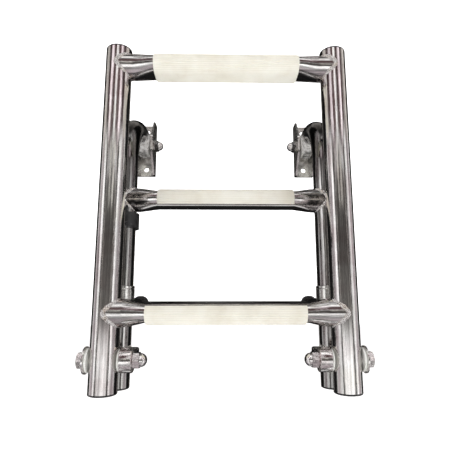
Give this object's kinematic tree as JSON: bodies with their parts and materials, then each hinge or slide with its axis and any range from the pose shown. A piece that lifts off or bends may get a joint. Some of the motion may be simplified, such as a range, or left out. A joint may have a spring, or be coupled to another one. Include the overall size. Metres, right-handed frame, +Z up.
{
  "type": "boarding ladder",
  "caption": "Folding transom boarding ladder of polished stainless tube with plastic treads, hooked arms on channel brackets and rubber stand-off feet.",
  "frame": {"origin": "middle of the four bracket screw holes, on the transom face of the brackets", "axes": "+X to the right of someone facing the transom from the water, +Y into the boat, +Z up"},
  "size_m": [0.262, 0.1733, 0.335],
  "materials": {
    "polished_stainless": "mirror polished",
    "pressed_stainless": "polished pressing",
    "tread_plastic": "ribbed cream plastic",
    "black_plastic": "black moulded plastic",
    "nylon": "milky nylon",
    "black_rubber": "black rubber"
  },
  "bodies": {
    "transom_brackets": {"bracket_left": "pressed_stainless", "bracket_right": "pressed_stainless", "pivot_bolts": "polished_stainless", "pivot_dome_nuts": "polished_stainless"},
    "upper_section": {"hinge_bolts": "polished_stainless", "hinge_boss_left": "polished_stainless", "hinge_boss_right": "polished_stainless", "hinge_dome_nuts": "polished_stainless", "hinge_inner_nylon_washers": "nylon", "hinge_outer_nylon_washers": "nylon", "hinge_steel_washers": "polished_stainless", "middle_step": "polished_stainless", "middle_tread": "tread_plastic", "standoff_cross_rod": "polished_stainless", "standoff_foot_left": "black_rubber", "standoff_foot_right": "black_rubber", "standoff_leg_left": "polished_stainless", "standoff_leg_right": "polished_stainless", "standoff_sleeve_left": "pressed_stainless", "standoff_sleeve_right": "pressed_stainless", "storage_clip": "black_plastic", "upper_rail_left": "polished_stainless", "upper_rail_plugs": "black_plastic", "upper_rail_right": "polished_stainless"},
    "lower_section": {"lower_rail_left": "polished_stainless", "lower_rail_right": "polished_stainless", "near_step": "polished_stainless", "far_step": "polished_stainless", "near_tread": "tread_plastic", "far_tread": "tread_plastic", "lower_rail_hinge_plugs": "black_plastic", "lower_rail_far_plugs": "black_plastic"}
  },
  "joints": [
    {"name": "hook_pivot", "type": "hinge", "parent": "transom_brackets", "child": "upper_section", "pos_m": [0, -0.02, 0], "axis": [-1, 0, 0], "range_deg": [0, 45]},
    {"name": "folding_hinge", "type": "hinge", "parent": "upper_section", "child": "lower_section", "pos_m": [0, -0.157, -0.254], "axis": [1, 0, 0], "range_deg": [0, 180]}
  ]
}
